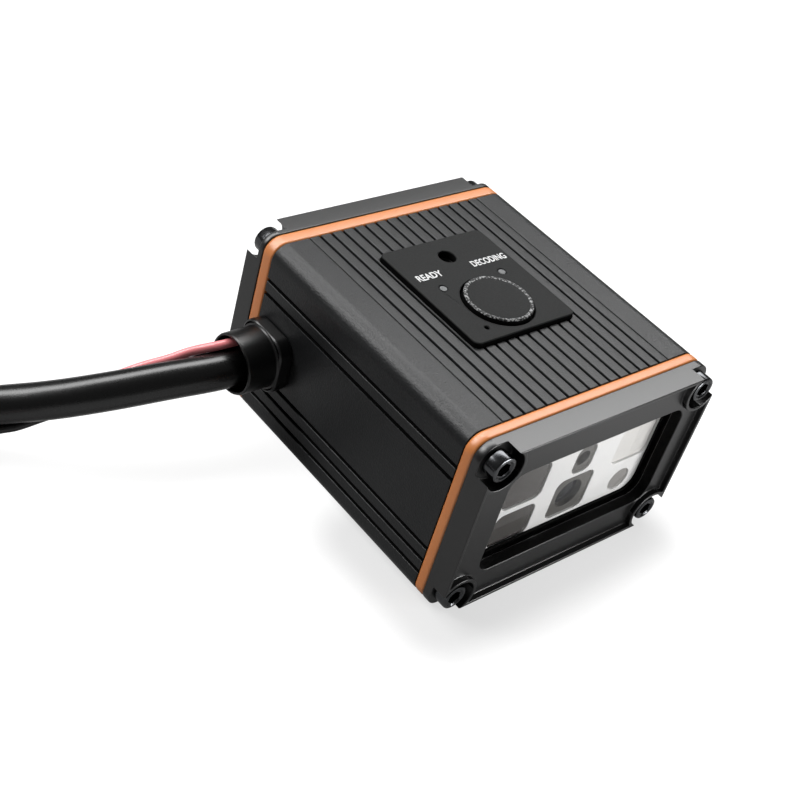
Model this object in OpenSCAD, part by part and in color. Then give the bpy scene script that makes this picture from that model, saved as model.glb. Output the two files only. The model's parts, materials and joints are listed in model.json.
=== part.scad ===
// Fixed barcode reader: a grooved extruded sleeve closed by two end caps on orange gaskets, with a
// reading window at the front, a control panel with a push button on top and a cable gland on the left.
// X runs to the right, Y to the rear and Z up. The origin lies under the middle of the housing.

/* [Housing] */
// Width of the housing
body_w = 50; // [47:0.5:60]
// Height of the housing
body_h = 32.5; // [31:0.5:40]
// Length of the extruded sleeve
sleeve_l = 47; // [45:1:80]
// Radius of the housing's long edges
corner_r = 2.8; // [2:0.1:6]
// Corner radius of the housing at its base
base_r = 2.4; // [2.2:0.1:4]
// Thickness of the sleeve's side and top walls
wall = 2.2; // [1.8:0.1:2.6]
// Thickness of the sleeve's floor
floor_t = 3; // [2.5:0.1:3.6]
// Distance between the holes in the floor, across the housing
mount_spacing_x = 30; // [20:1:34]
// Distance between the holes in the floor, along the housing
mount_spacing_y = 24; // [16:1:26]
// Radius of the tapped holes in the floor
mount_hole_r = 1.25; // [1:0.05:2]

/* [Grooves] */
// Number of grooves along the top
groove_count = 15; // [8:1:15]
// Distance between the grooves along the top
groove_pitch = 2.3; // [2:0.02:2.4]
// Width of each groove along the top
groove_w = 0.5; // [0.4:0.1:1.4]
// Depth of each groove along the top
groove_d = 0.6; // [0.3:0.1:1]
// Distance of the fine line at each edge from the outermost groove
edge_line_gap = 2.1; // [1.2:0.1:2.2]
// Width of the fine line at each edge
edge_line_w = 0.3; // [0.2:0.05:0.5]
// Depth of the fine line at each edge
edge_line_d = 0.3; // [0.2:0.05:0.5]
// Number of grooves near the top of each side
upper_side_grooves = 2; // [1:1:2]
// Number of grooves near the bottom of each side
lower_side_grooves = 3; // [1:1:3]
// Depth of the first upper side groove below the top
upper_side_drop = 6.3; // [6:0.1:7]
// Height of the first lower side groove above the base
lower_side_rise = 4.5; // [4:0.1:6]
// Distance between the side grooves
side_groove_pitch = 2.5; // [2:0.1:3]
// Width of each side groove
side_groove_w = 0.7; // [0.3:0.1:1]
// Depth of each side groove
side_groove_d = 0.5; // [0.3:0.1:0.8]

/* [End caps] */
// Thickness of the front cap
front_cap_t = 4.2; // [3.8:0.1:6]
// Thickness of the rear cap
rear_cap_t = 3.8; // [3.4:0.1:6]
// Thickness of the front gasket
front_gasket_t = 2; // [1.2:0.1:3]
// Thickness of the rear gasket
rear_gasket_t = 2.4; // [1.2:0.1:3]
// Width of the raised rim round the front cap's face
rim_w = 0.6; // [0.4:0.1:1]
// Height of the raised rim round the front cap's face
rim_h = 1; // [0.4:0.1:1.4]
// Distance of each screw from the two nearest sides
screw_inset = 3; // [2.9:0.05:3.2]
// Radius of the round pocket for each screw head
pocket_r = 3.4; // [3:0.1:4.2]
// Wall of the screw channel round each screw
channel_wall = 1.9; // [1.4:0.1:2]

/* [Screws] */
// Radius of the cap screws' thread
screw_r = 1.25; // [1:0.05:1.3]
// Length of the cap screws under the head
screw_l = 10; // [8:0.5:12]
// Diameter of the cap screws' heads
head_d = 4.4; // [3.8:0.1:5]
// Height of the cap screws' heads
head_h = 2.4; // [1.6:0.1:2.6]
// Depth of the screw heads below the cap's outer face
head_sink = 0.3; // [0:0.1:0.6]
// Width across flats of the hexagon sockets
socket_af = 2.2; // [1.5:0.1:2.5]
// Depth of the hexagon sockets
socket_d = 1.4; // [0.8:0.1:1.6]

/* [Window] */
// Distance of the window opening from the left side
window_left = 6.85; // [6:0.05:10]
// Distance of the window opening from the right side
window_right = 4.35; // [4.2:0.05:8]
// Distance of the window opening from the top
window_top = 6.55; // [6:0.05:9]
// Distance of the window opening from the base
window_bottom = 5.75; // [5.6:0.05:8]
// Corner radius of the window opening
window_r = 2.8; // [1:0.1:3]
// Thickness of the window glass
glass_t = 1; // [0.8:0.1:1.2]
// Depth of the glass seat in the back of the front cap
glass_seat_d = 1.2; // [1:0.1:1.3]
// Width of the ledge that the glass rests on
glass_lap = 1.2; // [0.8:0.1:1.2]
// Thickness of the seal behind the glass
seal_t = 0.4; // [0.3:0.1:0.8]

/* [Light block] */
// Margin of the light block round the window opening
block_margin = 1.2; // [1:0.1:1.2]
// Depth of the light block
block_l = 9.4; // [8:0.2:12]
// Corner radius of the light block
block_r = 6; // [5:0.1:6.4]
// Width of the lighting cells
cell_w = 8.5; // [6:0.1:8.6]
// Height of the upper lighting cells
upper_cell_h = 7.6; // [6:0.1:8]
// Height of the lower lighting cell
lower_cell_h = 6.8; // [5:0.1:6.8]
// Corner radius of the lighting cells
cell_r = 1.5; // [0.8:0.1:2]
// Distance of the left cells' middle from the window's left edge
left_cell_in = 9.5; // [8:0.1:10]
// Distance of the right cells' middle from the window's right edge
right_cell_in = 4.35; // [4.2:0.05:5.5]
// Height of the upper cells' middle above the window's lower edge
upper_cell_rise = 11.5; // [11.2:0.1:12]
// Height of the lower cells' middle above the window's lower edge
lower_cell_rise = 3; // [3:0.1:3.2]
// Depth of the lenses below the light block's face
lens_sink = 0.3; // [0.1:0.1:0.8]
// Thickness of the lenses
lens_t = 1.4; // [1:0.1:2]
// Width of the ledge behind each lens
lens_ledge = 0.7; // [0.4:0.1:1]
// Width of the camera holder
camera_w = 8.4; // [7.4:0.1:8.6]
// Height of the camera holder
camera_h = 8.2; // [7.4:0.1:8.4]
// Height of the camera's axis above the window's lower edge
camera_rise = 4.65; // [4.4:0.05:4.8]
// Radius of the camera lens
camera_lens_r = 2.7; // [2:0.1:3]
// Width of the aimer
aimer_w = 4.2; // [3:0.1:6]
// Height of the aimer
aimer_h = 5.6; // [4:0.1:6]
// Height of the aimer's axis above the window's lower edge
aimer_rise = 12.4; // [12.2:0.1:13]
// Radius of the aimer's opening
aimer_lens_r = 1.4; // [0.8:0.1:1.8]
// Radius of the round light sensor lens
sensor_lens_r = 2.2; // [1.5:0.1:3]

/* [Control panel] */
// Width of the control panel
panel_w = 21.6; // [20:0.1:26]
// Length of the control panel
panel_l = 24.2; // [22.4:0.1:26]
// Corner radius of the control panel
panel_r = 1.1; // [0.6:0.1:3]
// Thickness of the control panel
panel_t = 1.5; // [1.4:0.1:2.4]
// Depth of the control panel's seat in the sleeve
panel_sink = 0.6; // [0.4:0.1:0.8]
// Distance of the control panel from the sleeve's front end
panel_front = 14.3; // [12:0.1:17]
// Diameter of the push button
button_d = 11.6; // [9:0.1:12]
// Height of the push button above the panel
button_rise = 0.7; // [0.6:0.1:2]
// Distance of the button's axis from the panel's front edge
button_back = 7.2; // [6.8:0.1:7.8]
// Travel of the push button
button_travel = 0.5; // [0.2:0.05:0.6]
// Radius of the push button's stem
stem_r = 2; // [1.5:0.1:2.5]
// Spread of the two status lights, from the middle
light_x = 6.4; // [6:0.1:8]
// Distance of the status lights from the panel's front edge
light_back = 13.2; // [12.8:0.1:14]
// Radius of the status light pipes
light_r = 0.6; // [0.4:0.05:0.9]
// Distance of the sound hole from the panel's front edge
sound_back = 19.7; // [19:0.1:20.4]
// Radius of the sound hole
sound_r = 1.5; // [0.8:0.1:1.8]
// Distance of the pinhole from the panel's front edge
pinhole_back = 2.7; // [2:0.1:3]
// Radius of the pinhole
pinhole_r = 0.4; // [0.3:0.05:0.6]

/* [Boards] */
// Thickness of the main board
board_t = 1.6; // [1:0.1:2]
// Depth of the main board's upper face below the housing's top
board_drop = 8.5; // [8.2:0.1:9.5]
// Distance between the engine board and the main board
board_gap = 1.3; // [1:0.1:3]
// Thickness of the engine board
engine_board_t = 1.2; // [0.8:0.1:1.6]
// Depth of the rails that hold the main board
rail_w = 1.2; // [0.8:0.1:1.5]
// Thickness of the rails that hold the main board
rail_t = 1.2; // [0.8:0.1:1.4]
// Height of the tact switch's case
switch_h = 3.4; // [3:0.1:3.6]
// Width of the tact switch's case
switch_w = 6; // [5:0.1:8]
// Radius of the tact switch's plunger
plunger_r = 1.7; // [1.2:0.1:2]
// Radius of the buzzer
buzzer_r = 4.5; // [3.5:0.1:5]
// Height of the buzzer
buzzer_h = 4.4; // [3:0.1:5]
// Height of the status light chips
chip_h = 0.8; // [0.4:0.1:1.2]

/* [Gland and cord] */
// Distance of the gland's axis from the sleeve's rear end
gland_inset = 4.8; // [4.8:0.1:7]
// Depth of the gland's axis below the housing's top
gland_drop = 17.6; // [17.5:0.1:19]
// Width and height of the gland's flange
flange_w = 10.4; // [9.6:0.1:11]
// Thickness of the gland's flange
flange_t = 2.5; // [1.5:0.1:4]
// Outer diameter of the gland's collar
collar_d = 10.2; // [9.6:0.1:10.4]
// Length of the gland's collar in front of its flange
collar_l = 5.5; // [3:0.1:8]
// Wall of the gland's collar at its mouth
collar_wall = 0.5; // [0.4:0.1:1]
// Diameter of the gland's neck through the wall
neck_d = 9.2; // [9.1:0.1:9.4]
// Length of the gland's neck behind the flange
neck_l = 5.4; // [5:0.1:5.6]
// Thickness of the gland's nut
nut_t = 2.4; // [1.5:0.1:2.6]
// Width across flats of the gland's nut
nut_af = 11; // [10.6:0.1:11.6]
// Diameter of the cable
cable_d = 6; // [5.4:0.1:6]
// Diameter of the two power leads
lead_d = 1.5; // [1:0.1:1.5]
// Diameter of the coil at the middle of its turns
coil_d = 66; // [60:1:72]
// Turns that lie side by side in the coil
coil_across = 4; // [2:1:4]
// Layers of turns in the coil
coil_layers = 2; // [1:1:2]
// Thickness of the cable tie
tie_t = 0.8; // [0.6:0.1:1]
// Width of the cable tie
tie_w = 4; // [3:0.1:6]

/* [Hidden] */
$fn = 64;

// Clearances: beside a loose fit, round a thread, round a piece that slides, and the overshoot of cuts
gap = 0.1;
thread_gap = 0.05;
slide_gap = 0.3;
cut = 1;

// Places along the housing, front to rear
depth = front_cap_t + front_gasket_t + sleeve_l + rear_gasket_t + rear_cap_t;
front_y = -depth / 2;
front_gasket_y = front_y + front_cap_t;
sleeve_y = front_gasket_y + front_gasket_t;
sleeve_end = sleeve_y + sleeve_l;
rear_cap_y = sleeve_end + rear_gasket_t;
rear_y = depth / 2;

// Screws: their places in the XZ plane, and the pocket that holds each head
screw_points = [
    for (side = [-1, 1], z = [screw_inset, body_h - screw_inset])
        [side * (body_w / 2 - screw_inset), z]
];
pocket_d = head_h + head_sink;
rim_base_r = base_r - rim_w;
channel_r = screw_r + channel_wall;
head_chamfer = 0.3;

// Window, glass and light block
window_w = body_w - window_left - window_right;
window_h = body_h - window_top - window_bottom;
window_x = (window_left - window_right) / 2;
window_z = window_bottom + window_h / 2;
glass_y = front_gasket_y - glass_seat_d;
seal_y = glass_y + glass_t;
block_y = seal_y + seal_t;
block_end = block_y + block_l;
block_w = window_w + 2 * block_margin;
block_h = window_h + 2 * block_margin;
block_base = window_z - block_h / 2;
foot_w = 5;
foot_spread = 8;

// Cells of the light block: middle across and up, width, height
left_cell_x = window_x - window_w / 2 + left_cell_in;
right_cell_x = window_x + window_w / 2 - right_cell_in;
camera_x = (left_cell_x + right_cell_x) / 2;
upper_cell_z = window_bottom + upper_cell_rise;
lower_cell_z = window_bottom + lower_cell_rise;
camera_z = window_bottom + camera_rise;
aimer_z = window_bottom + aimer_rise;
led_cells = [
    [left_cell_x, upper_cell_z, cell_w, upper_cell_h],
    [left_cell_x, lower_cell_z, cell_w, lower_cell_h],
    [right_cell_x, upper_cell_z, cell_w, upper_cell_h]
];
lens_y = block_y + lens_sink;
engine_screw_r = 0.9;
engine_screw_l = 4;
engine_screw_head_r = 1.7;
engine_screw_head_h = 1.2;
engine_screw_points = [
    [(left_cell_x + camera_x) / 2, upper_cell_z],
    [(right_cell_x + camera_x) / 2, lower_cell_z]
];
engine_board_y = block_end;
engine_board_w = block_w - 4;
engine_board_h = block_h - 4;
image_sensor_w = 4;
image_sensor_h = 0.9;
led_chip_w = 2.8;
led_chip_h = 0.8;

// Control panel: its places along the housing and its heights
panel_y = sleeve_y + panel_front;
panel_base = body_h - panel_sink;
panel_top = panel_base + panel_t;
button_y = panel_y + button_back;
light_y = panel_y + light_back;
sound_y = panel_y + sound_back;
pinhole_y = panel_y + pinhole_back;
ceiling = body_h - wall;
button_r = button_d / 2;
button_flange_w = 0.9;
button_flange_t = 0.9;
button_well_r = button_r + button_flange_w + slide_gap;
button_top = panel_top + button_rise;
button_flange_top = panel_base - slide_gap;
button_dish_r = 36;

// Boards and what stands on them
board_top = body_h - board_drop;
board_base = board_top - board_t;
board_y = engine_board_y + engine_board_t + board_gap;
board_end = sleeve_end - 1.2;
cavity_half = body_w / 2 - wall;
cavity_r = 1.5;
rail_cut_end = board_y - board_gap / 2;
switch_top = board_top + switch_h;
plunger_rise = 0.8;
plunger_top = switch_top + plunger_rise;
plunger_base = switch_top - 1;
plunger_hole_base = plunger_base - button_travel - slide_gap;
light_collar_r = light_r + 0.7;
light_collar_t = 1;
light_base = board_top + chip_h + slide_gap;
chip_w = 1.6;
flex_w = 7;
flex_t = 0.3;
flex_run = 6;
flex_drop = 5;
header_w = 8;
header_l = 6;
header_h = 4;
header_in = 8;

// Gland: its axis, and the holes for the cable and the leads as offsets from the axis in Y and Z
gland_y = sleeve_end - gland_inset;
gland_z = body_h - gland_drop;
gland_x = -body_w / 2;
mouth_x = gland_x - flange_t - collar_l;
flange_r = 3;
collar_bore_r = collar_d / 2 - collar_wall;
mouth_floor_x = gland_x - flange_t / 2;
cable_drop = 0.9;
red_offset = [2.05, 2.6];
black_offset = [3.15, 1.15];
cable_y = gland_y;
cable_z = gland_z - cable_drop;
red_y = gland_y + red_offset[0];
red_z = gland_z + red_offset[1];
black_y = gland_y + black_offset[0];
black_z = gland_z + black_offset[1];
cord_inner_x = gland_x + neck_l + 0.6;
harness_t = 0.6;

// Coil, lying on the floor beside the cable's run
coil_centre = [-142, 15];
coil_band_w = coil_across * cable_d + 0.5;
coil_band_h = coil_layers * cable_d + 0.4;
coil_base = tie_t + gap;
tie_gap = 0.15;
tie_head = 4;
tie_angle = 45;

// Plug at the cable's end, lying on the coil: overmould, metal shell and the insert in it
plug_centre = [-175, 36];
usb_body_w = 15;
usb_body_h = 8;
plug_z = coil_base + coil_band_h + usb_body_h / 2 + gap;
usb_body_l = 26;
usb_body_r = 2.5;
usb_neck_d = 8;
usb_neck_l = 9;
usb_shell_w = 12;
usb_shell_h = 4.5;
usb_shell_l = 12;
usb_shell_wall = 0.4;
usb_insert_h = 1.9;
usb_root_l = 2;

// Routes of the cords, from inside the housing to their far ends
cable_route = [
    [cord_inner_x, cable_y, cable_z], [mouth_x + 4, cable_y, cable_z], [mouth_x, cable_y, cable_z],
    [-44, 20.5, 13.6], [-53, 23.4, 12], [-59.6, 26.8, 10], [-65.3, 30.6, 8],
    [-72, 34.4, 6.2], [-81, 37.9, 4.7], [-92, 41.8, 4.1], [-107, 47.2, 4.1], [-122, 52.4, 4.1]
];
tail_route = [
    [-149, 56, 11.2], [-159.5, 52.8, 13.6], [-167.8, 47.6, 16], [-172.8, 43, 17.2], [-175, 38, plug_z],
    [-175, 36, plug_z]
];
red_route = [
    [cord_inner_x, red_y, red_z], [mouth_x + 4, red_y, red_z], [mouth_x, red_y, red_z],
    [-37.6, 23.2, 15.5], [-41.1, 23.9, 14.5], [-44.9, 24.9, 13.5], [-49.1, 26.1, 11.8], [-53, 27.3, 9.7],
    [-57.9, 28.9, 7], [-62.2, 30.4, 4.9], [-67, 32, 3.1], [-75, 31, 1.6], [-80.5, 26.5, 0.8],
    [-86, 18.5, 0.8], [-90.5, 9, 0.8], [-93.5, 1, 0.8]
];
black_route = [
    [cord_inner_x, black_y, black_z], [mouth_x + 4, black_y, black_z], [mouth_x, black_y, black_z],
    [-36, 23.4, 13.8], [-39.1, 23.5, 12.5], [-43, 23.6, 11.2], [-46.6, 24.1, 10.1], [-50.5, 24.8, 9],
    [-54.4, 26, 7.7], [-58.5, 27.5, 6.2], [-63.1, 28.8, 4.5], [-68.3, 29.9, 3.3], [-72.5, 25.5, 1.2],
    [-77, 20, 0.8], [-82.5, 12, 0.8], [-86.5, 3, 0.8], [-89.5, -6, 0.8]
];
tip_l = 6;
tip_d = 0.9;

// Rounded rectangle in the drawing plane, centred on the origin
module rounded_plate(w, h, r) {
    square([w - 2 * r, h], center = true);
    square([w, h - 2 * r], center = true);
    for (x = [-1, 1], y = [-1, 1]) translate([x * (w / 2 - r), y * (h / 2 - r)]) circle(r);
}

// Extrudes an outline drawn in X and Z towards the rear, from y over a length
module along_y(y, length) {
    translate([0, y + length, 0]) rotate([90, 0, 0]) linear_extrude(length) children();
}

// Turns what stands on Z so that it points to the rear or to the front
module facing_rear() { rotate([-90, 0, 0]) children(); }
module facing_front() { rotate([90, 0, 0]) children(); }

// Outline of the housing, drawn in by an inset, with one radius at its top and one at its base
module housing_outline(inset = 0, top = corner_r, base = base_r) {
    w = body_w - 2 * inset;
    h = body_h - 2 * inset;
    translate([0, inset]) {
        translate([-w / 2, base]) square([w, h - top - base]);
        translate([top - w / 2, base]) square([w - 2 * top, h - base]);
        translate([base - w / 2, 0]) square([w - 2 * base, h - top]);
        for (side = [-1, 1]) {
            translate([side * (w / 2 - top), h - top]) circle(top);
            translate([side * (w / 2 - base), base]) circle(base);
        }
    }
}

// Inside of the sleeve, round the four screw channels
module cavity_outline() {
    difference() {
        translate([0, (floor_t + ceiling) / 2])
            rounded_plate(2 * cavity_half, ceiling - floor_t, cavity_r);
        for (p = screw_points) translate(p) circle(channel_r);
    }
}

// The two rails on each side wall that hold the main board's edges
module rails_outline() {
    for (side = [-1, 1], z = [board_base - gap - rail_t, board_top + gap])
        translate([side * (cavity_half + (cut - rail_w) / 2) - (rail_w + cut) / 2, z])
            square([rail_w + cut, rail_t]);
}

module top_grooves_outline() {
    first_x = -(groove_count - 1) * groove_pitch / 2;
    for (i = [0:groove_count - 1]) translate([first_x + i * groove_pitch, body_h])
        square([groove_w, 2 * groove_d], center = true);
    for (side = [-1, 1]) translate([side * (edge_line_gap - first_x), body_h])
        square([edge_line_w, 2 * edge_line_d], center = true);
}

module side_grooves_outline() {
    heights = [
        for (i = [0:upper_side_grooves - 1]) body_h - upper_side_drop - i * side_groove_pitch,
        for (i = [0:lower_side_grooves - 1]) lower_side_rise + i * side_groove_pitch
    ];
    for (side = [-1, 1], z = heights) translate([side * body_w / 2, z])
        square([2 * side_groove_d, side_groove_w], center = true);
}

module window_outline(grow) {
    translate([window_x, window_z])
        rounded_plate(window_w + 2 * grow, window_h + 2 * grow, window_r + grow);
}

module block_outline() {
    translate([window_x, window_z]) rounded_plate(block_w, block_h, block_r);
}

module cell_outline(c, grow) {
    translate([c[0], c[1]]) rounded_plate(c[2] + 2 * grow, c[3] + 2 * grow, max(cell_r + grow, 0.3));
}

// Housing

module sleeve() {
    color("#1c1d1f") difference() {
        along_y(sleeve_y, sleeve_l) difference() {
            housing_outline();
            difference() {
                cavity_outline();
                rails_outline();
            }
            top_grooves_outline();
            side_grooves_outline();
            for (p = screw_points) translate(p) circle(screw_r + thread_gap);
        }
        along_y(sleeve_y - cut, rail_cut_end - sleeve_y + cut) cavity_outline();
        translate([0, panel_y + panel_l / 2, panel_base]) linear_extrude(panel_t)
            rounded_plate(panel_w + 2 * gap, panel_l + 2 * gap, panel_r + gap);
        translate([0, button_y, ceiling - cut]) cylinder(h = wall + 2 * cut, r = button_well_r);
        for (side = [-1, 1]) translate([side * light_x, light_y, ceiling - cut])
            cylinder(h = wall + 2 * cut, r = light_r + gap);
        translate([0, sound_y, ceiling - cut]) cylinder(h = wall + 2 * cut, r = sound_r);
        translate([gland_x - cut, gland_y, gland_z]) rotate([0, 90, 0])
            cylinder(h = wall + 2 * cut, r = neck_d / 2 + gap);
        for (x = [-1, 1], y = [-1, 1])
            translate([x * mount_spacing_x / 2, y * mount_spacing_y / 2, -cut])
                cylinder(h = floor_t + 2 * cut, r = mount_hole_r);
    }
}

// End cap blank: the housing's outline with four head pockets and screw holes, open towards -Y
module cap_blank(thickness) {
    difference() {
        along_y(0, thickness) housing_outline();
        along_y(-cut, pocket_d + cut) for (p = screw_points) translate(p) circle(pocket_r);
        along_y(-cut, thickness + 2 * cut) for (p = screw_points) translate(p) circle(screw_r + gap);
    }
}

module front_cap() {
    color("#1a1b1c") translate([0, front_y, 0]) difference() {
        cap_blank(front_cap_t);
        along_y(-cut, rim_h + cut) difference() {
            housing_outline(rim_w, corner_r - rim_w, rim_base_r);
            for (p = screw_points) translate(p) circle(pocket_r + rim_w);
        }
        along_y(-cut, front_cap_t + 2 * cut) window_outline(0);
        along_y(front_cap_t - glass_seat_d, glass_seat_d + cut) window_outline(glass_lap + gap);
    }
}

module rear_cap() {
    color("#1a1b1c") translate([0, rear_y, 0]) mirror([0, 1, 0]) cap_blank(rear_cap_t);
}

module gasket_holes() {
    for (p = screw_points) translate(p) circle(screw_r + gap);
}

module front_gasket() {
    color("#e8793a") along_y(front_gasket_y, front_gasket_t) difference() {
        housing_outline();
        window_outline(max(block_margin, glass_lap) + 4 * gap);
        gasket_holes();
    }
}

module rear_gasket() {
    color("#e8793a") along_y(sleeve_end, rear_gasket_t) difference() {
        housing_outline();
        cavity_outline();
        gasket_holes();
    }
}

// Socket head screw standing on Z, head down, with its socket open at the bottom
module cap_screw() {
    head_r = head_d / 2;
    difference() {
        rotate_extrude() polygon([
            [0, 0], [head_r - head_chamfer, 0], [head_r, head_chamfer], [head_r, head_h],
            [screw_r, head_h], [screw_r, head_h + screw_l], [0, head_h + screw_l]
        ]);
        translate([0, 0, -cut]) cylinder(h = socket_d + cut, r = socket_af / sqrt(3), $fn = 6);
    }
}

module front_screws() {
    color("#101011") for (p = screw_points)
        translate([p[0], front_y + head_sink, p[1]]) facing_rear() cap_screw();
}

module rear_screws() {
    color("#101011") for (p = screw_points)
        translate([p[0], rear_y - head_sink, p[1]]) facing_front() cap_screw();
}

// Window and reading engine

module window_glass() {
    color("#c8d0d4", 0.4) along_y(glass_y, glass_t) window_outline(glass_lap);
}

module window_seal() {
    color("#0d0d0d") along_y(seal_y, seal_t) difference() {
        window_outline(glass_lap);
        window_outline(0);
    }
}

// Moulded block with a seat for each lens and a narrower tunnel behind it
module light_block() {
    camera_cell = [camera_x, camera_z, camera_w, camera_h];
    aimer_cell = [camera_x, aimer_z, aimer_w, aimer_h];
    color("#c9cacb") difference() {
        union() {
            along_y(block_y, block_l) block_outline();
            for (side = [-1, 1])
                translate([window_x + side * foot_spread - foot_w / 2, sleeve_y + gap, floor_t + gap])
                    cube([foot_w, block_end - sleeve_y - gap, block_base - floor_t]);
        }
        for (c = led_cells) {
            along_y(block_y - cut, lens_sink + lens_t + cut) cell_outline(c, gap);
            along_y(block_y - cut, block_l + 2 * cut) cell_outline(c, -lens_ledge);
        }
        for (c = [camera_cell, aimer_cell])
            along_y(block_y - cut, block_l + 2 * cut) cell_outline(c, gap);
        along_y(block_y - cut, lens_sink + lens_t + cut)
            translate([right_cell_x, lower_cell_z]) circle(sensor_lens_r + gap);
        along_y(block_y - cut, block_l + 2 * cut)
            translate([right_cell_x, lower_cell_z]) circle(sensor_lens_r - lens_ledge);
        for (p = engine_screw_points)
            translate([p[0], block_end + cut, p[1]]) facing_front()
                cylinder(h = engine_screw_l + cut, r = engine_screw_r + thread_gap);
    }
}

module led_lenses() {
    color("#4a4846") for (c = led_cells) along_y(lens_y, lens_t) cell_outline(c, 0);
}

module sensor_lens() {
    color("#6b6866") along_y(lens_y, lens_t) translate([right_cell_x, lower_cell_z]) circle(sensor_lens_r);
}

// Square holder that stands on the engine board, bored for the lens and open over the image sensor
module camera_holder() {
    seat_l = 4;
    color("#1b1a1a") difference() {
        along_y(lens_y, block_end - lens_y) cell_outline([camera_x, camera_z, camera_w, camera_h], 0);
        translate([camera_x, lens_y - cut, camera_z]) facing_rear()
            cylinder(h = seat_l + cut, r = camera_lens_r + gap);
        translate([camera_x, lens_y - cut, camera_z]) facing_rear()
            cylinder(h = block_end - lens_y + 2 * cut, r = camera_lens_r - lens_ledge);
        translate([camera_x, block_end, camera_z])
            cube([image_sensor_w + 4 * gap, 2 * (image_sensor_h + 4 * gap), image_sensor_w + 4 * gap],
                 center = true);
    }
}

// Lens barrel with a domed front
module camera_lens() {
    seat_l = 4;
    dome_h = 0.5;
    dome_r = (camera_lens_r * camera_lens_r + dome_h * dome_h) / (2 * dome_h);
    color("#22262c") translate([camera_x, lens_y + seat_l, camera_z]) facing_front() intersection() {
        cylinder(h = seat_l - dome_h, r = camera_lens_r);
        translate([0, 0, seat_l - dome_h - dome_r]) sphere(dome_r, $fn = 96);
    }
}

module aimer() {
    bore_l = 3;
    color("#5c5a58") difference() {
        along_y(lens_y, block_end - lens_y) cell_outline([camera_x, aimer_z, aimer_w, aimer_h], 0);
        translate([camera_x, lens_y - cut, aimer_z]) facing_rear()
            cylinder(h = bore_l + cut, r = aimer_lens_r);
    }
}

module engine_board() {
    color("#14452c") along_y(engine_board_y, engine_board_t) difference() {
        translate([window_x, window_z]) square([engine_board_w, engine_board_h], center = true);
        for (p = engine_screw_points) translate(p) circle(engine_screw_r + gap);
    }
}

module image_sensor() {
    color("#2a2c30") translate([camera_x, block_end - image_sensor_h / 2, camera_z])
        cube([image_sensor_w, image_sensor_h, image_sensor_w], center = true);
}

module led_chips() {
    color("#e8e2c0") for (c = led_cells)
        translate([c[0], block_end - led_chip_h / 2, c[1]])
            cube([led_chip_w, led_chip_h, led_chip_w], center = true);
}

module engine_screws() {
    board_back = engine_board_y + engine_board_t;
    color("#8a8d90") for (p = engine_screw_points)
        translate([p[0], board_back + engine_screw_head_h, p[1]]) facing_front() union() {
            cylinder(h = engine_screw_head_h, r = engine_screw_head_r);
            cylinder(h = engine_screw_head_h + engine_board_t + engine_screw_l - gap, r = engine_screw_r);
        }
}

// Control panel

module top_panel() {
    color("#161718") difference() {
        translate([0, panel_y + panel_l / 2, panel_base]) linear_extrude(panel_t)
            rounded_plate(panel_w, panel_l, panel_r);
        translate([0, button_y, panel_base - cut]) cylinder(h = panel_t + 2 * cut, r = button_r + slide_gap);
        for (side = [-1, 1]) translate([side * light_x, light_y, panel_base - cut])
            cylinder(h = panel_t + 2 * cut, r = light_r + gap);
        translate([0, sound_y, panel_base - cut]) cylinder(h = panel_t + 2 * cut, r = sound_r);
        translate([-light_x, pinhole_y, panel_top - panel_t / 2]) cylinder(h = panel_t, r = pinhole_r);
    }
}

// Button cap with a slightly dished top, a flange that the panel holds down, and a stem
module push_button() {
    stem_base = plunger_top;
    color("#1d1e20") translate([0, button_y, 0]) difference() {
        union() {
            translate([0, 0, button_flange_top - button_flange_t])
                cylinder(h = button_flange_t, r = button_r + button_flange_w);
            translate([0, 0, button_flange_top - button_flange_t])
                cylinder(h = button_top - button_flange_top + button_flange_t, r = button_r);
            translate([0, 0, stem_base]) cylinder(h = button_flange_top - stem_base, r = stem_r);
        }
        translate([0, 0, button_top - 0.3 + button_dish_r]) sphere(button_dish_r, $fn = 128);
    }
}

// Clear pipes that carry the status lights up to the panel, held by a collar under the ceiling
module light_pipes() {
    color("#d8dadb") for (side = [-1, 1]) translate([side * light_x, light_y, 0]) union() {
        translate([0, 0, light_base]) cylinder(h = panel_top - gap - light_base, r = light_r);
        translate([0, 0, ceiling - light_collar_t]) cylinder(h = light_collar_t, r = light_collar_r);
    }
}

// Main board and what stands on it

module main_board() {
    color("#14452c") translate([-(cavity_half - 2 * gap), board_y, board_base])
        cube([2 * (cavity_half - 2 * gap), board_end - board_y, board_t]);
}

module tact_switch() {
    color("#2b2b2c") difference() {
        translate([-switch_w / 2, button_y - switch_w / 2, board_top]) cube([switch_w, switch_w, switch_h]);
        translate([0, button_y, plunger_hole_base]) cylinder(h = switch_h, r = plunger_r + slide_gap);
    }
}

module switch_plunger() {
    color("#3a3a3c") translate([0, button_y, plunger_base])
        cylinder(h = plunger_top - plunger_base, r = plunger_r);
}

module status_leds() {
    color("#f0f0e8") for (side = [-1, 1]) translate([side * light_x, light_y, board_top + chip_h / 2])
        cube([chip_w, chip_w, chip_h], center = true);
}

module buzzer() {
    color("#111213") translate([0, sound_y, board_top]) difference() {
        cylinder(h = buzzer_h, r = buzzer_r);
        translate([0, 0, buzzer_h / 2]) cylinder(h = buzzer_h, r = sound_r);
    }
}

// Foam ring that joins the buzzer to the sound hole
module buzzer_seal() {
    seal_wall = 1.8;
    color("#3b3b3b") translate([0, sound_y, board_top + buzzer_h]) difference() {
        cylinder(h = ceiling - board_top - buzzer_h, r = sound_r + seal_wall);
        translate([0, 0, -cut]) cylinder(h = ceiling - board_top, r = sound_r);
    }
}

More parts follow.
